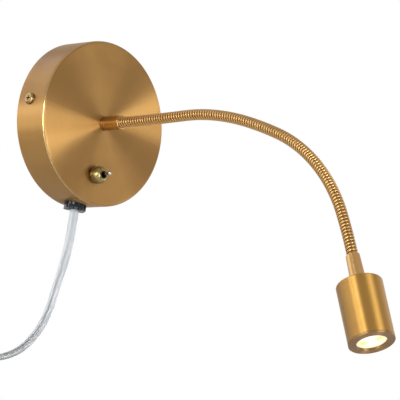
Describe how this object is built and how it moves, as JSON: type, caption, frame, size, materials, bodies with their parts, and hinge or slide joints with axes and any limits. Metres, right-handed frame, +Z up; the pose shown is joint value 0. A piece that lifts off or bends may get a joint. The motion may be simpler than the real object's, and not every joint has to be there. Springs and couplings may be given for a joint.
{
  "type": "gooseneck wall sconce",
  "caption": "Plug-in wall lamp: shallow round base, bendable ribbed arm, small cylindrical lamp head with a recessed round lens, toggle switch on the base.",
  "frame": {"origin": "centre of the base's open back, on the wall and midway between the two wall slots", "axes": "+Y into the wall, -Y out into the room along the stem, +X to the right as seen from the room, +Z up"},
  "size_m": [0.2104, 0.322, 0.3866],
  "materials": {
    "brushed_brass": "brushed",
    "hose_brass": "satin",
    "switch_trim": "polished",
    "zinc_steel": "satin",
    "black_plastic": "satin",
    "clear_pvc": "clear",
    "opal_lens": "translucent",
    "board_white": "gloss",
    "chip_yellow": "matte",
    "sink_aluminium": "satin",
    "driver_white": "satin",
    "foam_pad": "matte",
    "circuit_board": "satin",
    "block_cream": "matte",
    "lead_black": "matte",
    "wire_cover": "satin",
    "tie_black": "matte",
    "pin_brass": "polished"
  },
  "bodies": {
    "base": {"base_cover": "brushed_brass", "wall_bracket": "zinc_steel", "cover_screws": "switch_trim", "base_ferrule": "brushed_brass", "ferrule_washer": "zinc_steel", "ferrule_nut": "zinc_steel", "hose_link_1": "hose_brass", "hose_turn_1": "hose_brass", "head_lead": "lead_black", "toggle_body": "black_plastic", "toggle_bushing": "switch_trim", "toggle_lock_nut": "zinc_steel", "toggle_dress_nut": "switch_trim", "toggle_terminals": "zinc_steel", "cord_gland": "black_plastic", "driver_pad": "foam_pad", "driver_case": "driver_white", "driver_lid": "driver_white", "driver_board": "circuit_board", "terminal_block": "block_cream", "terminal_screws": "zinc_steel", "base_wires": "wire_cover", "power_cord": "clear_pvc", "cord_coil": "clear_pvc", "coil_tie": "tie_black", "cord_tail": "clear_pvc", "plug_body": "black_plastic", "plug_pins": "pin_brass"},
    "hose_2": {"hose_link_2": "hose_brass", "hose_turn_2": "hose_brass"},
    "hose_3": {"hose_link_3": "hose_brass", "hose_turn_3": "hose_brass"},
    "hose_4": {"hose_link_4": "hose_brass", "hose_turn_4": "hose_brass"},
    "hose_5": {"hose_link_5": "hose_brass", "hose_turn_5": "hose_brass"},
    "hose_6": {"hose_link_6": "hose_brass", "hose_turn_6": "hose_brass"},
    "hose_7": {"hose_link_7": "hose_brass", "hose_turn_7": "hose_brass"},
    "hose_8": {"hose_link_8": "hose_brass", "hose_turn_8": "hose_brass"},
    "head": {"hose_link_9": "hose_brass", "head_ferrule": "brushed_brass", "head_nut": "zinc_steel", "lamp_housing": "brushed_brass", "front_bezel": "brushed_brass", "diffuser_lens": "opal_lens", "led_board": "board_white", "led_chips": "chip_yellow", "heat_sink": "sink_aluminium"},
    "toggle": {"toggle_lever": "switch_trim"}
  },
  "joints": [
    {"name": "hose_bend_1", "type": "hinge", "parent": "base", "child": "hose_2", "pos_m": [0, -0.07694, 0.00027], "axis": [1, 0, 0], "range_deg": [-25, 25], "deforming": ["hose_turn_1", "head_lead"]},
    {"name": "hose_bend_2", "type": "hinge", "parent": "hose_2", "child": "hose_3", "pos_m": [0, -0.10787, 0.00108], "axis": [0, 0.0349, 0.9994], "range_deg": [-25, 25], "deforming": ["hose_turn_2"]},
    {"name": "hose_bend_3", "type": "hinge", "parent": "hose_3", "child": "hose_4", "pos_m": [0, -0.13873, -0.00054], "axis": [1, 0, 0], "range_deg": [-25, 25], "deforming": ["hose_turn_3"]},
    {"name": "hose_bend_4", "type": "hinge", "parent": "hose_4", "child": "hose_5", "pos_m": [0, -0.16897, -0.00696], "axis": [0, -0.2756, 0.9613], "range_deg": [-25, 25], "deforming": ["hose_turn_4"]},
    {"name": "hose_bend_5", "type": "hinge", "parent": "hose_5", "child": "hose_6", "pos_m": [0, -0.1983, -0.01678], "axis": [1, 0, 0], "range_deg": [-25, 25], "deforming": ["hose_turn_5"]},
    {"name": "hose_bend_6", "type": "hinge", "parent": "hose_6", "child": "hose_7", "pos_m": [0, -0.22568, -0.03104], "axis": [0, -0.5592, 0.829], "range_deg": [-25, 25], "deforming": ["hose_turn_6"]},
    {"name": "hose_bend_7", "type": "hinge", "parent": "hose_7", "child": "hose_8", "pos_m": [0, -0.24916, -0.05109], "axis": [1, 0, 0], "range_deg": [-25, 25], "deforming": ["hose_turn_7"]},
    {"name": "hose_bend_8", "type": "hinge", "parent": "hose_8", "child": "head", "pos_m": [0, -0.2673, -0.07605], "axis": [0, -0.8746, 0.4848], "range_deg": [-25, 25], "deforming": ["hose_turn_8"]},
    {"name": "toggle_switch", "type": "hinge", "parent": "base", "child": "toggle", "pos_m": [0, -0.031, -0.0387], "axis": [1, 0, 0], "range_deg": [0, 8]}
  ]
}
